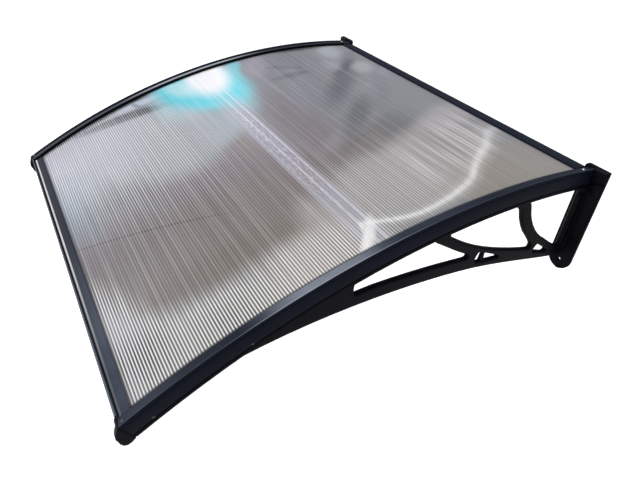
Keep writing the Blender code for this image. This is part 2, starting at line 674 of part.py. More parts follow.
hole_low = prism("hole_low", [circle(plate_mid, plate_hole_z, screw_hole / 2, 16)], -0.05, 0.02, "Y")
hole_high = prism("hole_high", [circle(plate_mid, plate_upper_z, screw_hole / 2, 16)], -0.05, 0.02, "Y")
sink_high = prism("sink_high", [circle(plate_mid, plate_upper_z, boss_radius - 0.0024, 16)],
                  -0.05, plate_front - boss_height + 0.0012, "Y")
seat_low = prism("seat_low", [circle(plate_mid, plate_hole_z, 0.0062, 18)],
                 -0.05, plate_front + 0.0014, "Y")
trim_space = prism("trim_space", [[
    (bar_back_y - 0.0002, sheet_level + rail_top), (bar_back_y - 0.0002, sheet_level + 0.03),
    (-0.05, sheet_level + 0.03), (-0.05, sheet_level + rail_top + 0.0015)]],
    half_open - 0.02, trim_out + seat_gap)
pin_a = prism("pin_a", [circle(plate_mid + 0.002, sheet_level + 0.0070, 0.0014, 10)], -0.03, plate_front - 0.001, "Y")
pin_b = prism("pin_b", [circle(plate_mid + 0.003, sheet_level - 0.0030, 0.0014, 10)], -0.03, plate_front - 0.001, "Y")
for cut in (hole_low, hole_high, sink_high, seat_low, trim_space, pin_a, pin_b):
    combine(bracket, cut, "DIFFERENCE")
paint(bracket, moulded)


def screw(name, radius, dome, depth, place, up):
    """Cross-head screw turned on its axis: domed head on the surface, shank below."""
    rim_step = radius * 0.92
    profile = [(0.0, dome), (radius * 0.45, dome * 0.90), (radius * 0.80, dome * 0.58),
               (rim_step, dome * 0.22), (radius, 0.0), (radius * shank_ratio, 0.0),
               (radius * shank_ratio, -depth), (0.0, -depth)]
    mesh = bpy.data.meshes.new(name)
    build = bmesh.new()
    verts = [build.verts.new((r, 0.0, h)) for r, h in profile]
    edges = [build.edges.new(pair) for pair in zip(verts, verts[1:])]
    bmesh.ops.spin(build, geom=verts + edges, cent=(0, 0, 0), axis=(0, 0, 1),
                   angle=2 * pi, steps=14, use_merge=True)
    build.to_mesh(mesh)
    build.free()
    made = finish(name, mesh)
    recess = prism(name + "_recess", [[
        (-0.50 * radius, -0.09 * radius), (-0.09 * radius, -0.09 * radius),
        (-0.09 * radius, -0.50 * radius), (0.09 * radius, -0.50 * radius),
        (0.09 * radius, -0.09 * radius), (0.50 * radius, -0.09 * radius),
        (0.50 * radius, 0.09 * radius), (0.09 * radius, 0.09 * radius),
        (0.09 * radius, 0.50 * radius), (-0.09 * radius, 0.50 * radius),
        (-0.09 * radius, 0.09 * radius), (-0.50 * radius, 0.09 * radius)]],
        0.35 * dome, dome * 1.5)
    recess.data.transform(Matrix.Rotation(radians(8), 4, "Z")
                          @ Matrix(((0, 1, 0, 0), (0, 0, 1, 0), (1, 0, 0, 0), (0, 0, 0, 1))))
    combine(made, recess, "DIFFERENCE")
    turn = Vector((0, 0, 1)).rotation_difference(Vector(up)).to_matrix().to_4x4()
    made.data.transform(Matrix.Translation(Vector(place)) @ turn)
    return paint(made, plated)


# Screws through the trims' top flanges and, near the front, through their side walls.
flange_slope = atan2(ridge_height - lip_height, trim_width - ridge_inset)


def bore_for(radius, place, up, depth, name, target):
    """Clear hole for a screw's shank, cut in the piece it passes."""
    reach = depth + 0.001
    cutter = prism(name, [circle(0, 0, radius * shank_ratio + seat_gap, 14)], -reach, 0.004)
    cutter.data.transform(Matrix(((0, 1, 0, 0), (0, 0, 1, 0), (1, 0, 0, 0), (0, 0, 0, 1))))
    turn = Vector((0, 0, 1)).rotation_difference(Vector(up)).to_matrix().to_4x4()
    cutter.data.transform(Matrix.Translation(Vector(place)) @ turn)
    combine(target, cutter, "DIFFERENCE")


top_screws = (
    ("rear", rear_angle - rear_screw_back / arc_radius, rear_screw_inset, rear_screw_radius, rear_screw_dome),
    ("front", trim_end - front_screw_back / arc_radius, front_screw_inset, front_screw_radius, front_screw_dome))
for label, angle, inset, radius, dome in top_screws:
    across = -sin(flange_slope)
    up = (across, -sin(angle) * cos(flange_slope), cos(angle) * cos(flange_slope))
    height = lip_height + (trim_width - inset) * tan(flange_slope)
    y, z = arc_point(angle, height)
    base = Vector((trim_out - inset, y, z)) + Vector(up) * (seat_gap + 0.0003)
    bore_for(radius, base, up, 0.0030, label + "_bore", side_trim)
    screw(label + "_screw_left", radius, dome, 0.0030, base, up)

for label, back in (("a", side_screw_a_back), ("b", side_screw_b_back)):
    angle = trim_end - back / arc_radius
    y, z = arc_point(angle, side_screw_level)
    base = Vector((trim_out + seat_gap, y, z))
    bore_for(side_screw_radius, base, (1, 0, 0), 0.0050, "side_bore_" + label, side_trim)
    screw("side_screw_" + label + "_left", side_screw_radius, side_screw_dome, 0.0050, base, (1, 0, 0))

for piece in ("side_trim", "bracket", "end_cap", "rear_screw", "front_screw",
              "side_screw_a", "side_screw_b"):
    mirrored(bpy.data.objects[piece + "_left"], piece + "_right")

canopy = bpy.data.objects.new("canopy", None)
collection.objects.link(canopy)
for made in collection.objects:
    if made is not canopy:
        made.parent = canopy
        for face in made.data.polygons:
            face.use_smooth = False
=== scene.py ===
# Looks of a door canopy: a curved twin-wall polycarbonate sheet in a slate coated aluminium
# frame, on two black moulded wall brackets. Metres, +Z up, the wall is the plane Y = 0 and
# the canopy reaches forward to -Y. Its left end, at +X, is the near one in the main view.

from math import cos, pi, radians, sin

import bmesh
import bpy
import numpy as np
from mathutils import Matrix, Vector


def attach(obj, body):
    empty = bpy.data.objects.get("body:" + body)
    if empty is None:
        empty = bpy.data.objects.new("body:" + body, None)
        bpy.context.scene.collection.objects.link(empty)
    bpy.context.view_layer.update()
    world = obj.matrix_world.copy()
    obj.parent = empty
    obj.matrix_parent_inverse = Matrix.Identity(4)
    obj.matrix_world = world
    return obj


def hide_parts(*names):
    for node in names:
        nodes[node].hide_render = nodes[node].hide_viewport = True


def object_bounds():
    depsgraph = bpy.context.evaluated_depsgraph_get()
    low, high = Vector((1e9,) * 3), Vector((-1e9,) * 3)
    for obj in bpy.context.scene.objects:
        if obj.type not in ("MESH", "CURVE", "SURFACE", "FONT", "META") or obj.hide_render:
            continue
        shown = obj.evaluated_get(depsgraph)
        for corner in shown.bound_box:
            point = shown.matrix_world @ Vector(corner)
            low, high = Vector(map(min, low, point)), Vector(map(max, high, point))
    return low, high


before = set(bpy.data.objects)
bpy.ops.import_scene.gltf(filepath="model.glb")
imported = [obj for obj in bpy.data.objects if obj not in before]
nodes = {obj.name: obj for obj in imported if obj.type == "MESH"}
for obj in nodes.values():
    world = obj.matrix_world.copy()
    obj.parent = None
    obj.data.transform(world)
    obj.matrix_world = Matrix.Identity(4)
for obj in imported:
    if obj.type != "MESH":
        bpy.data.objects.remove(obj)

cad_box = [list(corner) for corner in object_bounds()]
scene = bpy.context.scene
scene.view_settings.view_transform = "Standard"

# The photographer's stand: a camera beside the canopy's left front corner and half a metre
# above it, looking down across the sheet. Its place and turn were fitted to the frame's
# four corners.
camera_data = bpy.data.cameras.new("camera")
camera_data.lens = 30.21
camera_data.sensor_width = 36.0
camera = bpy.data.objects.new("camera", camera_data)
camera.location = (1.0295, -1.0448, 0.47415)
camera.rotation_euler = (radians(55.269), radians(-5.537), radians(59.695))
scene.collection.objects.link(camera)
scene.camera = camera

# Studio: a white room that the camera sees at full strength, and that lights the canopy and
# mirrors in it more weakly. A wide softbox hangs above the front, a large low one stands in
# front of the far end, and there is a small one beside each end.


def linear(code):
    """sRGB hex colour as linear red, green, blue and 1: the sRGB curve undone channel by channel."""
    parts = [int(code[i:i + 2], 16) / 255 for i in (1, 3, 5)]
    return tuple(c / 12.92 if c <= 0.04045 else ((c + 0.055) / 1.055) ** 2.4 for c in parts) + (1.0,)


def add(tree, kind, values=None, **settings):
    """One node of a kind: settings are its attributes, values its inputs, a socket is linked.

    By number, Map Range takes its value, the two ends it comes from and the two it goes to as
    inputs 0 to 4, and Mix takes its amount as 0 and its two colours as 6 and 7."""
    node = tree.nodes.new(kind)
    for key, value in settings.items():
        setattr(node, key, value)
    for key, value in (values or {}).items():
        if isinstance(value, bpy.types.NodeSocket):
            tree.links.new(value, node.inputs[key])
        else:
            node.inputs[key].default_value = value
    return node


def softbox(name, place, target, size, power, colour):
    """Square area lamp of a size in metres and a power in watts, turned to face a target point."""
    lamp = bpy.data.lights.new(name, "AREA")
    lamp.size = size
    lamp.energy = power
    lamp.color = linear(colour)[:3]
    holder = bpy.data.objects.new(name, lamp)
    holder.location = place
    aim = Vector(target) - Vector(place)
    holder.rotation_euler = aim.to_track_quat("-Z", "Y").to_euler()
    scene.collection.objects.link(holder)


room = bpy.data.worlds.new("studio_room")
room.use_nodes = True
tree = room.node_tree
tree.nodes.clear()
path = add(tree, "ShaderNodeLightPath")
seen = add(tree, "ShaderNodeMath", {0: path.outputs["Is Camera Ray"], 1: path.outputs["Is Transmission Ray"]},
           operation="MAXIMUM")
white = add(tree, "ShaderNodeBackground", {"Color": linear("#ffffff"), "Strength": 1.0})
mirrored = add(tree, "ShaderNodeBackground", {"Color": linear("#e6ecf4"), "Strength": 0.16})
dim = add(tree, "ShaderNodeBackground", {"Color": linear("#eef2f6"), "Strength": 0.30})
unseen = add(tree, "ShaderNodeMixShader", {0: path.outputs["Is Glossy Ray"], 1: dim.outputs[0],
                                           2: mirrored.outputs[0]})
both = add(tree, "ShaderNodeMixShader", {0: seen.outputs[0], 1: unseen.outputs[0], 2: white.outputs[0]})
add(tree, "ShaderNodeOutputWorld", {"Surface": both.outputs[0]})
scene.world = room

warm_white = "#fffaf2"
cool_white = "#f2f6ff"
softbox("softbox_top", (-0.6, -0.9, 3.0), (0, -0.5, 0), 2.2, 68, warm_white)
softbox("softbox_near", (2.6, -1.6, 1.6), (0, -0.5, -0.1), 1.0, 3, cool_white)
softbox("softbox_front_far", (-2.2, -2.6, 0.9), (0, -0.8, -0.1), 2.0, 24, cool_white)
softbox("softbox_far", (-2.4, -0.2, 1.15), (0.4, -0.6, 0), 0.6, 4, cool_white)

# Floor: plain and pale, far enough below the canopy to catch only a soft shadow. It is open
# from below, so that the underside can be looked at.
floor_half = 40.0
floor_level = cad_box[0][2] - 0.62
floor_mesh = bpy.data.meshes.new("floor")
floor_mesh.from_pydata([(x * floor_half, y * floor_half, floor_level)
                        for x, y in ((-1, -1), (1, -1), (1, 1), (-1, 1))], [], [(0, 1, 2, 3)])
floor = bpy.data.objects.new("floor", floor_mesh)
scene.collection.objects.link(floor)


def blank_material(name):
    """Material of a name with nothing in its node tree yet, and that tree."""
    material = bpy.data.materials.new(name)
    material.use_nodes = True
    material.node_tree.nodes.clear()
    return material, material.node_tree


pale, tree = blank_material("pale_floor")
path = add(tree, "ShaderNodeLightPath")
side = add(tree, "ShaderNodeNewGeometry")
matt = add(tree, "ShaderNodeBsdfDiffuse", {"Color": linear("#e8e8e8")})
glow = add(tree, "ShaderNodeEmission", {"Color": linear("#ffffff"), "Strength": 0.80})
lit = add(tree, "ShaderNodeAddShader", {0: matt.outputs[0], 1: glow.outputs[0]})
seen_floor = add(tree, "ShaderNodeMixShader", {0: path.outputs["Is Camera Ray"], 1: matt.outputs[0],
                                               2: lit.outputs[0]})
clear = add(tree, "ShaderNodeBsdfTransparent")
one_sided = add(tree, "ShaderNodeMixShader", {0: side.outputs["Backfacing"], 1: seen_floor.outputs[0],
                                              2: clear.outputs[0]})
add(tree, "ShaderNodeOutputMaterial", {"Surface": one_sided.outputs[0]})
floor_mesh.materials.append(pale)

# Sheet: 5 mm twin-wall polycarbonate, two thin skins joined by upright ribs every 5.8 mm,
# extruded, then bent cold to the frame's arc. The skins sag a little between the ribs, and
# two pressed lines are left where it was folded for packing.
arc_radius = 1.624              # to the sheet's top face
rear_angle = radians(-2.5)      # place on the arc of the rear bar's lip, 0 at the crown
sweep = radians(34.6)           # from there to the front bar's lip
rear_lip_y = -0.036             # the sheet's top face at that lip
rear_lip_z = 0.0095
arc_y = rear_lip_y + arc_radius * sin(rear_angle)
arc_z = rear_lip_z - arc_radius * cos(rear_angle)
lip_run = arc_radius * sweep
sheet_cover = 0.012             # held inside each bar
sheet_half = 0.4750
sheet_depth = 0.0050
skin = 0.0006
pitch = 0.0058
steps_per_flute = 8
skin_sag = 0.00010
face_inset = 0.00010            # skins' outer faces, inside the solid's
end_inset = 0.0004              # and the sheet's rear end
fold_lines = (0.4800, 0.5155)
fold_height = 0.00018
fold_width = 0.0035
rib_half = 0.0003
rib_root = 0.00005              # ribs' reach into the skins
rib_inset = 0.0002              # ribs' ends, in from the sheet's sides


def on_arc(s, n):
    """y and z at s metres forward along the sheet and n above it: a circle of radius plus n."""
    angle = rear_angle + s / arc_radius
    return arc_y - (arc_radius + n) * np.sin(angle), arc_z + (arc_radius + n) * np.cos(angle)


def sheet_face(s, n):
    """Grid of points on the arc, from the sheet's one side to the other, with a height n for each s."""
    y, z = on_arc(s, n)
    grid = np.empty((len(s), 2, 3))
    grid[..., 0] = (-sheet_half, sheet_half)
    grid[..., 1] = y[:, None]
    grid[..., 2] = z[:, None]
    return grid


def slab(over, under, start):
    """Vertices and quads of a closed plate between two grids of points, numbered from start.

    The quads come in the order top, underside, rim. The third result counts those of the top."""
    rows, cols = over.shape[:2]
    index = np.arange(rows * cols).reshape(rows, cols)
    top = np.stack([index[:-1, :-1], index[:-1, 1:], index[1:, 1:], index[1:, :-1]], -1).reshape(-1, 4)
    rim = np.concatenate([index[0, :], index[1:, -1], index[-1, -2::-1], index[-2:0:-1, 0]])
    after = np.roll(rim, -1)
    wall = np.stack([rim, rim + rows * cols, after + rows * cols, after], -1)
    quads = np.concatenate([top, top[:, ::-1] + rows * cols, wall]) + start
    return np.concatenate([over.reshape(-1, 3), under.reshape(-1, 3)]), quads, len(top)


def new_piece(name, points, faces, smooth=30):
    """Mesh piece at the origin from points and faces, smooth except at edges over the angle."""
    mesh = bpy.data.meshes.new(name)
    mesh.from_pydata(points.tolist(), [], faces)
    mesh.validate()
    build = bmesh.new()
    build.from_mesh(mesh)
    bmesh.ops.recalc_face_normals(build, faces=build.faces)
    build.to_mesh(mesh)
    build.free()
    mesh.shade_smooth()
    mesh.set_sharp_from_angle(angle=radians(smooth))
    made = bpy.data.objects.new(name, mesh)
    scene.collection.objects.link(made)
    return made


# The sag is one cosine wave to a flute, each fold line a bell curve across the flutes.
sheet_s = np.arange(end_inset - sheet_cover, lip_run + sheet_cover, pitch / steps_per_flute)
sag = skin_sag * (0.5 - 0.5 * np.cos(2 * pi * sheet_s / pitch))
folds = sum(fold_height * np.exp(-((sheet_s - line) / fold_width) ** 2) for line in fold_lines)
top_points, top_quads, top_count = slab(
    sheet_face(sheet_s, folds - sag - face_inset), sheet_face(sheet_s, folds - sag - skin), 0)
low_points, low_quads, low_count = slab(
    sheet_face(sheet_s, skin - sheet_depth + sag), sheet_face(sheet_s, face_inset - sheet_depth + sag),
    len(top_points))

# Ribs: boxes between the skins. A corner is (behind or ahead, foot or head, left or right).
rib_s = np.arange(0, lip_run, pitch)
rib_corners = np.array([(-1, 0, 1), (1, 0, 1), (1, 1, 1), (-1, 1, 1),
                        (-1, 0, -1), (1, 0, -1), (1, 1, -1), (-1, 1, -1)])
rib_n = np.where(rib_corners[:, 1] > 0, rib_root - skin, skin - sheet_depth - rib_root)
rib_y, rib_z = on_arc(rib_s[:, None] + rib_corners[None, :, 0] * rib_half, rib_n[None, :])
rib_x = np.broadcast_to(rib_corners[:, 2] * (sheet_half - rib_inset), rib_y.shape)
rib_points = np.stack([rib_x, rib_y, rib_z], -1).reshape(-1, 3)
box_quads = np.array([(0, 1, 2, 3), (7, 6, 5, 4), (0, 4, 5, 1), (1, 5, 6, 2), (2, 6, 7, 3), (3, 7, 4, 0)])
rib_quads = (box_quads[None] + 8 * np.arange(len(rib_s))[:, None, None]).reshape(-1, 4)
rib_quads += len(top_points) + len(low_points)

sheet = new_piece("twin_wall_sheet", np.concatenate([top_points, low_points, rib_points]),
                  np.concatenate([top_quads, low_quads, rib_quads]).tolist(), 40)

# The sheet's map holds metres: x across the sheet, and the run along its arc from the rear lip.
corner = np.empty(len(sheet.data.loops), int)
sheet.data.loops.foreach_get("vertex_index", corner)
spots = np.empty(3 * len(sheet.data.vertices), np.float32)
sheet.data.vertices.foreach_get("co", spots)
spots = spots.astype(float).reshape(-1, 3)
run = (np.arctan2(arc_y - spots[:, 1], spots[:, 2] - arc_z) - rear_angle) * arc_radius
sheet_map = sheet.data.uv_layers.new(name="flutes")
sheet_map.data.foreach_set("uv", np.stack([spots[corner, 0], run[corner]], -1).ravel())

# Material numbers: 0 the top face, 2 the underside, 1 all that lies between them.
numbers = np.ones(len(sheet.data.polygons), int)
numbers[:top_count] = 0
numbers[len(top_quads) + low_count:len(top_quads) + 2 * low_count] = 2
sheet.data.polygons.foreach_set("material_index", numbers)


def mottled(size_x, size_s, detail, rough=0.5):
    """Noise on the sheet with cells of a size in mm across it and along it."""
    cells = add(tree, "ShaderNodeMapping", {"Vector": place, "Scale": (1000 / size_x, 1000 / size_s, 1.0)})
    return add(tree, "ShaderNodeTexNoise", {"Vector": cells.outputs[0], "Scale": 1.0, "Detail": detail,
                                            "Roughness": rough}).outputs[0]


def flute_wave(along_sheet):
    """Sine of the place along the sheet, one wave to a flute."""
    phase = add(tree, "ShaderNodeMath", {0: along_sheet, 1: 2 * pi / pitch}, operation="MULTIPLY")
    return add(tree, "ShaderNodeMath", {0: phase.outputs[0]}, operation="SINE").outputs[0]


def oval(centre, half, angle, edge, strength, rest=0.0):
    """Soft oval on the sheet: its strength inside and the rest outside.

    Centre and half axes are metres, the angle turns it, and the edge is how soft it is."""
    moved = add(tree, "ShaderNodeVectorMath", {0: place, 1: (*centre, 0)}, operation="SUBTRACT")
    turned = add(tree, "ShaderNodeVectorRotate", {"Vector": moved.outputs[0], "Angle": radians(-angle)},
                 rotation_type="Z_AXIS")
    scaled = add(tree, "ShaderNodeVectorMath", {0: turned.outputs[0], 1: (1 / half[0], 1 / half[1], 0)},
                 operation="MULTIPLY")
    far = add(tree, "ShaderNodeVectorMath", {0: scaled.outputs[0]}, operation="LENGTH")
    return add(tree, "ShaderNodeMapRange", {0: far.outputs["Value"], 1: 1.0 + edge, 2: 1.0 - edge,
                                            3: rest, 4: strength}, interpolation_type="SMOOTHSTEP").outputs[0]


def gap_to(value, level):
    """Distance of a coordinate from a level, which is a number or a socket."""
    step = add(tree, "ShaderNodeMath", {0: value, 1: level}, operation="SUBTRACT")
    return add(tree, "ShaderNodeMath", {0: step.outputs[0]}, operation="ABSOLUTE").outputs[0]


def stencil(*parts):
    """All parts multiplied. A part is a socket, a number, or a tuple for an eased ramp.

    The tuple holds a coordinate and where its ramp starts and ends, then the ramp's two
    values where they aren't 0 and 1."""
    factors = list(parts)
    for i, part in enumerate(parts):
        if isinstance(part, tuple):
            ramp = add(tree, "ShaderNodeMapRange", dict(enumerate(part)), interpolation_type="SMOOTHSTEP")
            factors[i] = ramp.outputs[0]
    result = factors[0]
    for factor in factors[1:]:
        result = add(tree, "ShaderNodeMath", {0: result, 1: factor}, operation="MULTIPLY").outputs[0]
    return result


def coat(ground, paint, *parts):
    """A paint laid over a ground through the stencil of its parts; both are hex codes or sockets."""
    ground, paint = (linear(c) if isinstance(c, str) else c for c in (ground, paint))
    return add(tree, "ShaderNodeMix", {0: stencil(*parts), 6: ground, 7: paint}, data_type="RGBA").outputs[2]


# Clear extruded polycarbonate, hazed by weather: a smooth glossy skin with fine flute lines
# over a middling grey with clouds of 200 by 143 mm, with painted reflections and shade on it.
glazing, tree = blank_material("clear_extruded_polycarbonate")
place = add(tree, "ShaderNodeUVMap", uv_map="flutes").outputs[0]
axes = add(tree, "ShaderNodeSeparateXYZ", {0: place})
u, v = axes.outputs["X"], axes.outputs["Y"]
crest = stencil((flute_wave(v), -0.55, 0.75))
valley = add(tree, "ShaderNodeMath", {0: 1.0, 1: crest}, operation="SUBTRACT").outputs[0]
streaks = mottled(454.5, 6.667, 3.0)    # 455 mm long and 6.7 mm wide, about one to a flute
colour = coat("#848589", "#909195", mottled(200, 142.9, 3.0))

# Painted reflections and what shows through the sheet, painted on it: light, dark and cyan
# areas, a white glare, and painted shade along the far trim. Each is given one by one: colour,
# strength, centre, half axes, turn and softness, as the oval takes them.
for paint, strength, centre, half, angle, edge in (
        ("#96928d", 1.00, (0.393, 0.129), (0.111, 0.173), 0, 0.35),
        ("#83888a", 0.85, (-0.013, 0.082), (0.280, 0.113), 46, 0.45),
        ("#767678", 0.85, (0.151, 0.286), (0.135, 0.060), 67, 0.55),
        ("#787371", 0.90, (0.170, 0.408), (0.129, 0.073), 84, 0.50),
        ("#7c7779", 0.80, (0.000, 0.408), (0.170, 0.060), 0, 0.50),
        ("#a8a6a6", 0.95, (0.318, 0.354), (0.136, 0.107), 90, 0.30),
        ("#aeacac", 0.95, (0.252, 0.204), (0.175, 0.087), 62, 0.35),
        ("#b0afaf", 0.90, (0.144, 0.082), (0.128, 0.052), 60, 0.45),
        ("#8b898b", 0.40, (0.197, 0.068), (0.075, 0.020), 71, 0.60),
        ("#9a9c9f", 0.70, (-0.066, 0.170), (0.220, 0.027), 46, 0.60),
        ("#9d9b9e", 0.70, (0.092, 0.326), (0.101, 0.025), 64, 0.70),
        ("#5f6267", 0.80, (0.039, 0.272), (0.127, 0.028), 42, 0.70),
        ("#5f6268", 0.85, (-0.170, 0.184), (0.153, 0.030), 41, 0.70),
        ("#474b52", 1.00, (-0.269, 0.112), (0.077, 0.016), 49, 0.50),
        ("#62666d", 0.55, (-0.347, 0.051), (0.067, 0.019), 43, 0.60),
        ("#7b7f86", 0.70, (-0.131, 0.088), (0.132, 0.023), 32, 0.70),
        ("#b2b7b8", 0.90, (-0.246, 0.065), (0.053, 0.030), 38, 0.55),
        ("#b7bfc0", 0.95, (-0.403, 0.088), (0.063, 0.035), 23, 0.60),
        ("#a2a7ab", 0.75, (-0.288, 0.146), (0.049, 0.028), 20, 0.60),
        ("#9ca0a8", 0.60, (-0.197, 0.027), (0.046, 0.020), 38, 0.60),
        ("#8e9299", 0.60, (-0.203, 0.292), (0.145, 0.033), 27, 0.70),
        ("#6d7077", 0.70, (-0.269, 0.286), (0.061, 0.015), 87, 0.60),
        ("#6d7077", 0.60, (-0.331, 0.282), (0.057, 0.013), -57, 0.60),
        ("#84868d", 0.60, (-0.380, 0.224), (0.098, 0.040), -12, 0.60),
        ("#a9a6ad", 0.65, (-0.393, 0.340), (0.079, 0.030), 17, 0.60),
        ("#2c3038", 0.95, (-0.453, 0.163), (0.075, 0.015), 90, 0.60),
        ("#b0aca8", 0.95, (0.413, 0.585), (0.111, 0.100), 0, 0.45),
        ("#7f7a77", 1.00, (0.190, 0.755), (0.272, 0.170), -83, 0.20),
        ("#77716d", 0.70, (0.301, 0.721), (0.129, 0.037), -84, 0.70),
        ("#7f7977", 0.90, (0.092, 0.564), (0.216, 0.041), 0, 0.45),
        ("#7e777a", 0.85, (0.046, 0.680), (0.163, 0.060), -71, 0.65),
        ("#7d7876", 1.00, (0.111, 0.932), (0.111, 0.100), 0, 0.40),
        ("#8f9ba2", 0.90, (-0.118, 0.945), (0.144, 0.053), -6, 0.50),
        ("#a3abaf", 1.00, (-0.131, 0.598), (0.102, 0.087), 79, 0.30),
        ("#a7adaf", 1.00, (-0.170, 0.694), (0.164, 0.120), -17, 0.30),
        ("#b2b6b9", 1.00, (-0.255, 0.768), (0.218, 0.133), -25, 0.40),
        ("#c2c1c8", 1.00, (-0.367, 0.904), (0.156, 0.100), -84, 0.45),
        ("#b9bfc2", 0.90, (-0.282, 0.612), (0.079, 0.060), -17, 0.50),
        ("#848b90", 0.75, (-0.072, 0.840), (0.132, 0.023), -24, 0.75),
        ("#a0abb0", 0.65, (-0.229, 0.928), (0.073, 0.023), -30, 0.75),
        ("#1c2a2f", 1.00, (-0.390, 0.741), (0.139, 0.021), -71, 0.35),
        ("#161c24", 1.00, (-0.455, 0.816), (0.184, 0.013), 90, 0.45),
        ("#d6dfe5", 0.85, (-0.426, 0.690), (0.071, 0.017), -82, 0.55),
        ("#7d8790", 0.70, (-0.422, 0.697), (0.030, 0.007), -20, 0.70),
        ("#b4b1ad", 0.95, (0.445, 0.836), (0.217, 0.080), -74, 0.35),
        ("#cac8cd", 0.90, (0.338, 0.972), (0.150, 0.060), -23, 0.45),
        ("#6e686a", 0.50, (0.040, 0.885), (0.150, 0.130), 0, 0.45),
        ("#aaa7a6", 0.80, (0.330, 0.545), (0.070, 0.035), 0, 0.60),
        ("#dcdfe6", 0.50, (-0.275, 0.855), (0.150, 0.130), 0, 0.55),
        ("#c8e4ea", 0.65, (-0.370, 0.620), (0.110, 0.045), 0, 0.60),
        ("#b6dfe5", 0.60, (-0.249, 0.469), (0.098, 0.040), 0, 0.60),
        ("#9ce2ea", 0.95, (-0.373, 0.520), (0.172, 0.107), -15, 0.26),
        ("#9dd5dd", 0.80, (-0.413, 0.403), (0.079, 0.020), 20, 0.60),
        ("#d3f0f2", 0.80, (-0.413, 0.578), (0.072, 0.027), -12, 0.60),
        ("#fdfeff", 1.00, (-0.419, 0.488), (0.121, 0.060), 6, 0.40)):
    colour = coat(colour, paint, oval(centre, half, angle, edge, strength))

# Flute lines, painted as light caught on each crest and painted shade in each valley: faint all
# over, and strongest along the near side and the front.
contrast = 0.12
for strength, centre, half, angle, edge in (
        (0.95, (0.428, 0.884), (0.190, 0.092), 104, 0.45),
        (0.90, (0.290, 0.966), (0.175, 0.060), 160, 0.45),
        (0.75, (0.420, 0.640), (0.190, 0.072), 90, 0.45),
        (0.30, (0.300, 0.340), (0.160, 0.120), 90, 0.50),
        (0.50, (-0.230, 0.820), (0.290, 0.190), 153, 0.50)):
    contrast = add(tree, "ShaderNodeMath", {0: contrast, 1: oval(centre, half, angle, edge, strength)},
                   operation="ADD").outputs[0]
fitful = add(tree, "ShaderNodeMapRange", {0: streaks, 1: 0.3, 2: 0.7, 3: 0.60, 4: 1.25}).outputs[0]
colour = coat(colour, "#ffffff", contrast, fitful, crest)
colour = coat(colour, "#2e2c2e", contrast, fitful, valley, 0.52)

# Painted reflections: light and dark streaks within the flutes, which show most in the bright
# reflected band by the glint.
banded = oval((0.235, 0.120), (0.190, 0.075), 60, 0.50, 1.20, 0.15)
light_streak = add(tree, "ShaderNodeMapRange", {0: streaks, 1: 0.50, 2: 0.68, 3: 0.0, 4: 0.78}).outputs[0]
dark_streak = add(tree, "ShaderNodeMapRange", {0: streaks, 1: 0.50, 2: 0.30, 3: 0.0, 4: 0.40}).outputs[0]
colour = coat(colour, "#f0efee", light_streak, banded)
colour = coat(colour, "#4a4a4e", dark_streak, banded)

# The fold: a band 50 mm wide of crazed, whitened plastic with white lines along it. The
# crazing's flecks are 16.7 mm long and 3.8 mm wide.
craze = mottled(16.67, 3.846, 5.0, 0.65)
crazed = add(tree, "ShaderNodeMapRange", {0: craze, 1: 0.50, 2: 0.68}).outputs[0]
whiter = add(tree, "ShaderNodeMapRange", {0: craze, 1: 0.35, 2: 0.60, 3: 0.55, 4: 1.0}).outputs[0]
off_far_end = add(tree, "ShaderNodeMapRange", {0: u, 1: -0.18, 2: -0.30, 3: 1.0, 4: 0.1}).outputs[0]
colour = coat(colour, "#bdbdc8", (gap_to(v, sum(fold_lines) / 2), 0.0265, 0.0245), off_far_end, 0.42)
colour = coat(colour, "#f2f1f6", crazed, oval((0.070, 0.499), (0.230, 0.020), 0, 0.35, 0.70))
for level, width, strength in (
        (fold_lines[0], 0.0034, 0.80), (0.4980, 0.0036, 0.62), (fold_lines[1], 0.0020, 0.45),
        (0.4665, 0.0016, 0.30)):
    colour = coat(colour, "#f4f2f8", (gap_to(v, level), width, 0.0), whiter, strength)

# The burst of light where the fold meets the near trim.
for strength, centre, half, angle in (
        (0.80, (0.418, 0.496), (0.040, 0.010), 34),
        (0.60, (0.439, 0.520), (0.033, 0.007), 43)):
    colour = coat(colour, "#ffffff", oval(centre, half, angle, 0.60, strength))

# The glint: a bright curved line through places (along the sheet, across it), narrower away
# from the rear bar, in a soft glow, and broken up by the flutes.
glint_places = (
    (0.0, 0.229), (0.041, 0.242), (0.102, 0.295), (0.143, 0.321), (0.197, 0.360), (0.238, 0.393),
    (0.286, 0.413), (0.340, 0.426), (0.394, 0.429), (0.435, 0.419), (0.476, 0.400), (0.497, 0.393),
    (0.510, 0.430), (0.532, 0.454))
glint_path = add(tree, "ShaderNodeFloatCurve", {"Value": v})
curve = glint_path.mapping.curves[0]
for point, spot in zip(curve.points, glint_places):
    point.location = spot
for spot in glint_places[len(curve.points):]:
    curve.points.new(*spot)
glint_path.mapping.update()
glint_width = add(tree, "ShaderNodeMapRange", {0: v, 1: 0.0, 2: 0.32, 3: 0.021, 4: 0.009}).outputs[0]
glint_gap = add(tree, "ShaderNodeMath", {0: gap_to(u, glint_path.outputs[0]), 1: glint_width},
                operation="DIVIDE").outputs[0]
glint_end = add(tree, "ShaderNodeMapRange", {0: v, 1: 0.545, 2: 0.525}).outputs[0]
glint_rise = add(tree, "ShaderNodeMapRange", {0: v, 1: 0.0, 2: 0.12, 3: 0.55, 4: 1.0}).outputs[0]
broken = add(tree, "ShaderNodeMapRange", {0: streaks, 1: 0.36, 2: 0.56, 3: 0.60, 4: 1.0}).outputs[0]
flicker = add(tree, "ShaderNodeMapRange", {0: crest, 3: 0.55, 4: 1.0}).outputs[0]
for reach, strength in ((2.9, 0.40), (1.25, 0.95)):
    colour = coat(colour, "#ffffff", (glint_gap, reach, 0.0), glint_end, glint_rise, broken, flicker,
                  strength)

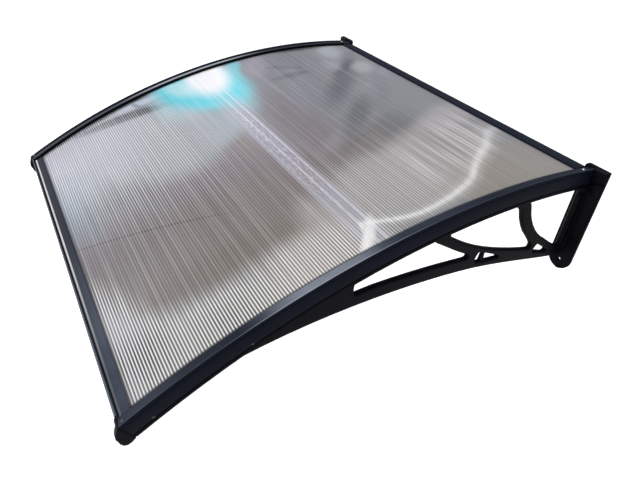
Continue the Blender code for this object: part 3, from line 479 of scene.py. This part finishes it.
# A dotted scuff slanting across the front flutes, and white specks 3 mm wide: one for each
# cell of 45 mm that is drawn by lot, about one in eight.
slant = add(tree, "ShaderNodeMath", {0: v, 1: -0.575, 2: 0.576}, operation="MULTIPLY_ADD").outputs[0]
scuff = add(tree, "ShaderNodeMapRange", {0: gap_to(u, slant), 1: 0.0034, 2: 0.0012}).outputs[0]
scuff_run = add(tree, "ShaderNodeMapRange", {0: v, 1: 0.64, 2: 0.76, 3: 0.0, 4: 0.75}).outputs[0]
colour = coat(colour, "#232123", scuff, valley, scuff_run)
cells = add(tree, "ShaderNodeTexVoronoi", {"Vector": place, "Scale": 1000 / 45.45})
lot = add(tree, "ShaderNodeSeparateColor", {0: cells.outputs["Color"]})
drawn = add(tree, "ShaderNodeMapRange", {0: lot.outputs[0], 1: 0.86, 2: 0.88}).outputs[0]
speck = add(tree, "ShaderNodeMapRange", {0: cells.outputs["Distance"], 1: 0.045, 2: 0.025}).outputs[0]
colour = coat(colour, "#f2f0ee", speck, drawn, 0.8)

# Paler towards the wall, and a tint: warm near, lilac and blue far.
paler_to_wall = add(tree, "ShaderNodeMapRange", {0: v, 1: 0.22, 2: 0.02, 3: 0.0, 4: 0.22}).outputs[0]
colour = coat(colour, "#d6d6da", paler_to_wall)
colour = add(tree, "ShaderNodeHueSaturation", {"Saturation": 1.55, "Color": colour}).outputs[0]
lilac = add(tree, "ShaderNodeMapRange", {0: u, 1: 0.40, 2: 0.0, 3: 0.3, 4: 1.0}).outputs[0]
colour = add(tree, "ShaderNodeMix", {0: lilac, 6: colour, 7: (1.0, 0.99, 1.06, 1.0)}, data_type="RGBA",
             blend_type="MULTIPLY").outputs[2]

# The lips' shadow along the sheet's four edges: front, rear, near and far.
for axis, start, end, strength in (
        (v, 0.972, 0.979, 0.80), (v, 0.007, 0.0, 0.65), (u, 0.4492, 0.4530, 0.85),
        (u, -0.450, -0.4580, 0.65)):
    shade = add(tree, "ShaderNodeMapRange", {0: axis, 1: start, 2: end, 3: 0.0, 4: strength}).outputs[0]
    colour = coat(colour, "#26262a", shade)

ripple = add(tree, "ShaderNodeBump", {"Strength": 0.10, "Distance": 0.001, "Height": craze})
gloss = add(tree, "ShaderNodeBsdfPrincipled", {
    "Base Color": colour, "Roughness": 0.30, "IOR": 1.58, "Specular IOR Level": 0.22, "Alpha": 0.94,
    "Normal": ripple.outputs[0]})
add(tree, "ShaderNodeOutputMaterial", {"Surface": gloss.outputs[0]})

# Ribs and the skins' inner faces: the same clear plastic, nearly unseen, a little cloudy
# along each rib, in clouds 83 mm long and 5.9 mm wide.
webs, tree = blank_material("clear_polycarbonate_ribs")
place = add(tree, "ShaderNodeUVMap", uv_map="flutes").outputs[0]
haze = mottled(83.33, 5.882, 2.0)
haze_rough = add(tree, "ShaderNodeMapRange", {0: haze, 1: 0.3, 2: 0.7, 3: 0.28, 4: 0.42})
gloss = add(tree, "ShaderNodeBsdfPrincipled", {
    "Base Color": coat("#85888b", "#a4a7aa", haze), "Roughness": haze_rough.outputs[0], "IOR": 1.58,
    "Alpha": 0.12})
add(tree, "ShaderNodeOutputMaterial", {"Surface": gloss.outputs[0]})

# Underside: the lower skin, pale and partly seen through, with the flutes' lines and a light
# haze in clouds of 167 mm.
under, tree = blank_material("clear_polycarbonate_underside")
place = add(tree, "ShaderNodeUVMap", uv_map="flutes").outputs[0]
axes = add(tree, "ShaderNodeSeparateXYZ", {0: place})
lines = add(tree, "ShaderNodeMapRange", {0: flute_wave(axes.outputs["Y"]), 1: -0.5, 2: 0.9, 3: 0.0, 4: 0.5})
colour = coat("#b2b5b9", "#cdd0d4", mottled(166.7, 166.7, 3.0))
colour = coat(colour, "#f4f5f6", lines.outputs[0])
gloss = add(tree, "ShaderNodeBsdfPrincipled", {
    "Base Color": colour, "Roughness": 0.30, "IOR": 1.58, "Alpha": 0.75})
add(tree, "ShaderNodeOutputMaterial", {"Surface": gloss.outputs[0]})
for material in (glazing, webs, under):
    sheet.data.materials.append(material)
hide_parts("sheet")
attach(sheet, "root")

# Side trims: aluminium extrusions rolled to the arc and pushed over the sheet's sides, with a
# lip on the sheet, a sharp ridge near the outer edge, a shadow groove and a plain side wall.
seat_gap = 0.0003               # between any two pieces that touch
open_half = 0.4585              # half the sheet's width seen between the trims
trim_out = 0.4805
lip_height = 0.0053
ridge_height = 0.0100
ridge_x = trim_out - 0.0026
trim_drop = 0.0245
trim_groove = 0.0010
extruded_wall = 0.0018
trim_in = open_half - 0.0020    # the lower box reaches in under the sheet
slot_floor = -sheet_depth - 0.0004
trim_back = 0.0275              # trim's length behind the rear bar's lip
trim_over = 0.0220              # and past the front bar's lip
trim_steps = 180
trim_round = 0.0004
trim_profile = np.array([
    (open_half, seat_gap), (open_half, lip_height - 0.0006), (open_half + 0.0006, lip_height),
    (ridge_x - 0.0014, ridge_height), (ridge_x, ridge_height + 0.0003),
    (ridge_x + 0.0014, ridge_height - 0.0002), (trim_out, ridge_height - 0.0022),
    (trim_out, ridge_height - 0.0044), (trim_out - trim_groove, ridge_height - 0.0050),
    (trim_out - trim_groove, ridge_height - 0.0060), (trim_out, ridge_height - 0.0072),
    (trim_out, 0.0008 - trim_drop), (trim_out - 0.0008, -trim_drop), (trim_in + 0.0008, -trim_drop),
    (trim_in, 0.0008 - trim_drop), (trim_in, slot_floor), (trim_out - extruded_wall, slot_floor),
    (trim_out - extruded_wall, seat_gap)])


def eased(profile, radius):
    """Closed profile with each corner cut back by the radius and given a middle point.

    The corner becomes three points of a quadratic curve: start, blend of corner and ends, end."""
    before = np.roll(profile, 1, 0) - profile
    after = np.roll(profile, -1, 0) - profile
    long_a = np.linalg.norm(before, axis=1, keepdims=True)
    long_b = np.linalg.norm(after, axis=1, keepdims=True)
    cut = np.minimum(radius, 0.4 * np.minimum(long_a, long_b))
    first = profile + before / long_a * cut
    last = profile + after / long_b * cut
    middle = 0.25 * first + 0.5 * profile + 0.25 * last
    return np.stack([first, middle, last], 1).reshape(-1, 2)


def rolled(profile, s):
    """Rings of an (x, n) profile carried along the arc at the places s."""
    y, z = on_arc(s[:, None], profile[None, :, 1])
    return np.stack([np.broadcast_to(profile[:, 0], y.shape), y, z], -1)


def tube(rings):
    """Points and faces of a closed tube through rings of points, with a flat face at each end."""
    count, around = rings.shape[:2]
    index = np.arange(count * around).reshape(count, around)
    after = np.roll(index, -1, 1)
    walls = np.stack([index[:-1], after[:-1], after[1:], index[1:]], -1).reshape(-1, 4).tolist()
    return rings.reshape(-1, 3), walls + [index[0].tolist()[::-1], index[-1].tolist()]


# Slate powder coating on aluminium: satin and nearly black, mottled in clouds of 111 mm, with
# a fine orange peel of 1.4 mm in it.
coating, tree = blank_material("slate_powder_coated_aluminium")
spot = add(tree, "ShaderNodeTexCoord").outputs["Object"]
across, along, height = add(tree, "ShaderNodeSeparateXYZ", {0: spot}).outputs
out = add(tree, "ShaderNodeMath", {0: across}, operation="ABSOLUTE").outputs[0]
normal = add(tree, "ShaderNodeNewGeometry").outputs["Normal"]
facing_up = add(tree, "ShaderNodeSeparateXYZ", {0: normal}).outputs["Z"]
mottle = add(tree, "ShaderNodeTexNoise", {"Vector": spot, "Scale": 1000 / 111.1, "Detail": 4.0,
                                          "Roughness": 0.6}).outputs[0]
peel = add(tree, "ShaderNodeTexNoise", {"Vector": spot, "Scale": 1000 / 1.4286, "Detail": 1.0})
colour = coat("#191e2c", "#222838", mottle)


def line_at(value, level, width):
    """Ramp for a stencil: 1 within 0.3 of the width from a level, 0 from the width on."""
    return gap_to(value, level), width, 0.3 * width


# Painted sheen, highlights and shade by place, in metres from the wall or from the middle:
# paint, then its stencil.
up = stencil((facing_up, 0.50, 0.95))
on_trim = stencil((out, trim_in - 0.0002, trim_in + 0.0002))
on_bar = stencil((out, trim_in + 0.0002, trim_in - 0.0002))
near_side = stencil((across, -0.1, 0.1))
far_side = stencil((across, 0.1, -0.1))
front_face = stencil((along, -0.9, -0.95))
patchy = stencil((mottle, 0.3, 0.7, 0.7, 1.2))
# The four colours below: painted sheen, a paler painted highlight, the ridge's painted highlight and painted
# shade in the gaps.
painted_sheen = "#5a6275"
painted_highlight = "#a4abbd"
ridge_highlight = "#c4cad6"
gap_shade = "#06070b"
far_band_x = 0.4654
flange_edge_y, flange_edge_z = -0.9862, -0.2512     # the front bar's flange, at its front edge
gutter_edge_y, gutter_edge_z = -0.9938, -0.2420     # and its gutter's lip
front_slot_y = -0.9616
for paint, *parts in (
        # painted sheen on the top faces of the near trim, palest at its middle, of the front bar's
        # near half, and a little of the rear bar
        (painted_sheen, up, on_trim, near_side, patchy, (along, -0.30, -0.50, 0.10, 0.28),
         (along, -0.68, -0.80, 1.0, 0.3)),
        (painted_sheen, up, on_trim, near_side, (along, -0.88, -0.97), 0.30),
        (painted_highlight, up, on_trim, near_side, patchy, (along, -0.80, -0.66), (along, -0.50, -0.64), 0.58),
        (painted_sheen, up, on_bar, front_face, patchy, (across, -0.08, 0.25, 0.05, 0.72)),
        ("#4a505e", up, on_bar, (along, -0.5, -0.1), patchy, 0.10),
        # a painted highlight along the near ridge
        (ridge_highlight, line_at(out, ridge_x, 0.0013), (facing_up, 0.1, 0.4), near_side,
         (along, -0.40, -0.60, 0.06, 0.40), (along, -0.84, -0.72, 0.15, 1.0)),
        # painted shade over the far trim, with one painted highlight band along it
        ("#0a0f1a", up, on_trim, far_side, 0.75),
        ("#c3cbda", up, line_at(out, far_band_x, 0.0038), far_side, (along, -0.30, -0.46, 0.10, 1.0),
         (along, -0.78, -0.62, 0.25, 1.0), 0.80),
        # painted highlights along the edges of the front bar's flange and of its gutter's lip
        ("#ffffff", line_at(along, flange_edge_y, 0.0028), on_bar,
         (height, flange_edge_z, flange_edge_z + 0.0012), (across, 0.42, -0.05, 0.12, 1.0)),
        ("#9aa2b2", line_at(along, gutter_edge_y, 0.0014), on_bar,
         (height, gutter_edge_z, gutter_edge_z + 0.0008), 0.45),
        # painted shade in the gap under the trims' lips and in the front bar's slot
        (gap_shade, on_trim, (out, open_half + 0.0019, open_half + 0.0007), 0.9),
        (gap_shade, on_bar, front_face, (along, front_slot_y, front_slot_y + 0.0012), 0.9)):
    colour = coat(colour, paint, *parts)

grain = add(tree, "ShaderNodeBump", {"Strength": 0.12, "Distance": 0.0002, "Height": peel.outputs[0]})
satin = add(tree, "ShaderNodeMapRange", {0: mottle, 1: 0.3, 2: 0.7, 3: 0.30, 4: 0.42})
gloss = add(tree, "ShaderNodeBsdfPrincipled", {
    "Base Color": colour, "Roughness": satin.outputs[0], "Specular IOR Level": 0.07,
    "Normal": grain.outputs[0]})
add(tree, "ShaderNodeOutputMaterial", {"Surface": gloss.outputs[0]})

trim_s = np.linspace(-trim_back, lip_run + trim_over, trim_steps)
for side, sign in (("left", 1), ("right", -1)):
    outline = eased(trim_profile, trim_round) * (sign, 1)
    trim = new_piece("rolled_trim_" + side, *tube(rolled(outline, trim_s)))
    trim.data.materials.append(coating)
    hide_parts("side_trim_" + side)
    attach(trim, "root")

# Rear and front bars: straight aluminium extrusions of the same finish between the trims,
# each with a slot for the sheet's end. The rear one has a groove for the wall seal, the
# front one a small rain gutter behind its upright edge.
bars_half = trim_in - seat_gap
bar_round = 0.0003
slot_depth = sheet_cover + 0.001
rear_back = -0.0083             # rear bar's back, in front of the wall plates
rear_lip = 0.0044               # its top above the sheet, at the lip
rear_top = rear_lip_z + 0.0050  # and at the back
rear_low = rear_lip_z - 0.0240
rear_toe = rear_lip_y + 0.0045  # lower body, set back from the lip
groove_z = rear_lip_z - 0.0085
groove_half = 0.0018 + seat_gap
groove_floor = rear_back - 0.0036 - seat_gap
rear_profile = [
    on_arc(0, seat_gap), on_arc(0, rear_lip - 0.0005), (rear_lip_y + 0.0006, rear_lip_z + rear_lip),
    (rear_back - 0.0010, rear_top), (rear_back, rear_top - 0.0010),
    (rear_back, groove_z + groove_half), (groove_floor, groove_z + groove_half),
    (groove_floor, groove_z - groove_half), (rear_back, groove_z - groove_half),
    (rear_back, rear_low), (rear_toe, rear_low),
    (rear_toe, rear_lip_z + slot_floor - extruded_wall - 0.0010),
    on_arc(-0.0008, slot_floor - extruded_wall), on_arc(-0.0008, slot_floor),
    on_arc(-slot_depth, slot_floor), on_arc(-slot_depth, seat_gap)]
front_angle = rear_angle + sweep
front_lip_y, front_lip_z = on_arc(lip_run, 0.0)


def sloping(t, n):
    """y and z at t forward from the front lip, straight on along the sheet's slope, n above it."""
    return (front_lip_y - t * cos(front_angle) - n * sin(front_angle),
            front_lip_z - t * sin(front_angle) + n * cos(front_angle))


def level_with(forward, up):
    """y and z at a distance forward of the front lip and a height above it."""
    return front_lip_y - forward, front_lip_z + up


flange = 0.0205                 # length of the front bar's sloping top
flange_top = extruded_wall + seat_gap
gutter_floor = -0.0165          # heights from the lip
gutter_lip = -0.0032
front_low = -0.0385
gutter_front = 0.0225           # distances forward of the lip
front_out = 0.0256
front_lean = 0.0050             # foot of the front face, back from its top
front_chamfer = 0.0042
front_profile = [
    sloping(0, seat_gap), sloping(0, flange_top - 0.0004), sloping(0.0006, flange_top),
    sloping(flange - 0.0008, flange_top), sloping(flange + 0.0002, extruded_wall - 0.0006),
    level_with(0.0186, gutter_floor + 0.0025), level_with(0.0200, gutter_floor),
    level_with(gutter_front - 0.0012, gutter_floor), level_with(gutter_front, gutter_floor + 0.0012),
    level_with(gutter_front, gutter_lip - 0.0006), level_with(gutter_front + 0.0006, gutter_lip),
    level_with(front_out - 0.0010, gutter_lip), level_with(front_out, gutter_lip - 0.0010),
    level_with(front_out - 0.3 * front_lean, -0.0140),
    level_with(front_out - front_lean, front_low + front_chamfer),
    level_with(front_out - front_lean - front_chamfer, front_low), level_with(0.0080, front_low),
    level_with(-0.0090, -0.0075), sloping(-0.0080, slot_floor - 0.0012), sloping(-0.0080, slot_floor),
    sloping(slot_depth, slot_floor), sloping(slot_depth, seat_gap)]
for name, profile in (("rear_bar", rear_profile), ("front_bar", front_profile)):
    ring = eased(np.array(profile), bar_round)
    ends = np.empty((2, len(ring), 3))
    ends[..., 0] = [[-bars_half], [bars_half]]
    ends[..., 1:] = ring
    bar = new_piece("extruded_" + name, *tube(ends))
    bar.data.materials.append(coating)
    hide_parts(name)
    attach(bar, "root")

# Wall seal: a strip of black rubber, extruded and pressed between the rear bar and the wall.
# It is matt, with a dusty bloom in spots of 17 mm.
rubber, tree = blank_material("black_epdm_rubber")
spot = add(tree, "ShaderNodeTexCoord").outputs["Object"]
bloom = add(tree, "ShaderNodeTexNoise", {"Vector": spot, "Scale": 1000 / 16.667, "Detail": 4.0})
dull = add(tree, "ShaderNodeBsdfPrincipled", {
    "Base Color": coat("#131314", "#232325", bloom.outputs[0]), "Roughness": 0.8, "Specular IOR Level": 0.25})
add(tree, "ShaderNodeOutputMaterial", {"Surface": dull.outputs[0]})
for slot in nodes["wall_seal"].material_slots:
    slot.material = rubber

# Brackets and end caps: one-piece mouldings of black glass-filled nylon with rounded edges.
# The brackets stand against the wall and carry the trims, whose front ends the caps close.
# The mould leaves a matt grain, drawn at 1.1 mm, coarser than it is, and 40 mm flow marks.
nylon, tree = blank_material("black_moulded_nylon")
spot = add(tree, "ShaderNodeTexCoord").outputs["Object"]
flow = add(tree, "ShaderNodeTexNoise", {"Vector": spot, "Scale": 1000 / 40, "Detail": 4.0})
pits = add(tree, "ShaderNodeTexNoise", {"Vector": spot, "Scale": 1000 / 1.1111, "Detail": 2.0})
rounding = add(tree, "ShaderNodeBevel", {"Radius": 0.0060}, samples=6)
texture = add(tree, "ShaderNodeBump", {"Strength": 0.15, "Distance": 0.0002, "Height": pits.outputs[0],
                                       "Normal": rounding.outputs[0]})
matt = add(tree, "ShaderNodeBsdfPrincipled", {
    "Base Color": coat("#101016", "#1b1a25", flow.outputs[0]), "Roughness": 0.40, "Specular IOR Level": 0.10,
    "Normal": texture.outputs[0]})
add(tree, "ShaderNodeOutputMaterial", {"Surface": matt.outputs[0]})


def moulding(node, name):
    """Copy of a CAD node merged to one skin, its narrow chamfers shaded as rounded edges."""
    mesh = nodes[node].data.copy()
    mesh.name = name
    build = bmesh.new()
    build.from_mesh(mesh)
    bmesh.ops.remove_doubles(build, verts=build.verts, dist=0.00002)
    bmesh.ops.dissolve_limit(build, angle_limit=radians(0.5), verts=build.verts, edges=build.edges)
    build.to_mesh(mesh)
    build.free()
    mesh.materials.clear()
    mesh.shade_smooth()
    mesh.set_sharp_from_angle(angle=radians(52))
    made = bpy.data.objects.new(name, mesh)
    scene.collection.objects.link(made)
    weigh = made.modifiers.new("flat_faces_first", "WEIGHTED_NORMAL")
    weigh.keep_sharp = True
    weigh.weight = 80
    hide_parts(node)
    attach(made, "root")
    return made


for part in ("bracket_left", "bracket_right", "end_cap_left", "end_cap_right"):
    made = moulding(part, "moulded_" + part)
    made.data.materials.append(nylon)

# Screws: zinc plated steel with domed heads and a cross recess, driven into the trims' top
# flanges and side walls. The plating's spangle is drawn at 2 mm, coarser than it is, and the
# screws away from the wall are darker.
zinc, tree = blank_material("zinc_plated_steel")
spot = add(tree, "ShaderNodeTexCoord").outputs["Object"]
spangle = add(tree, "ShaderNodeTexNoise", {"Vector": spot, "Scale": 1000 / 2, "Detail": 3.0})
from_wall = add(tree, "ShaderNodeSeparateXYZ", {0: spot}).outputs["Y"]
darker_from_wall = add(tree, "ShaderNodeMapRange", {0: from_wall, 1: -0.1, 2: -0.7, 3: 0.0, 4: 0.8})
colour = coat("#b4b6ba", "#dcdee2", spangle.outputs[0])
colour = coat(colour, "#54565a", darker_from_wall.outputs[0])
plated = add(tree, "ShaderNodeBsdfPrincipled", {"Base Color": colour, "Metallic": 1.0, "Roughness": 0.32})
add(tree, "ShaderNodeOutputMaterial", {"Surface": plated.outputs[0]})
for name, node in nodes.items():
    if "screw" in name:
        for slot in node.material_slots:
            slot.material = zinc
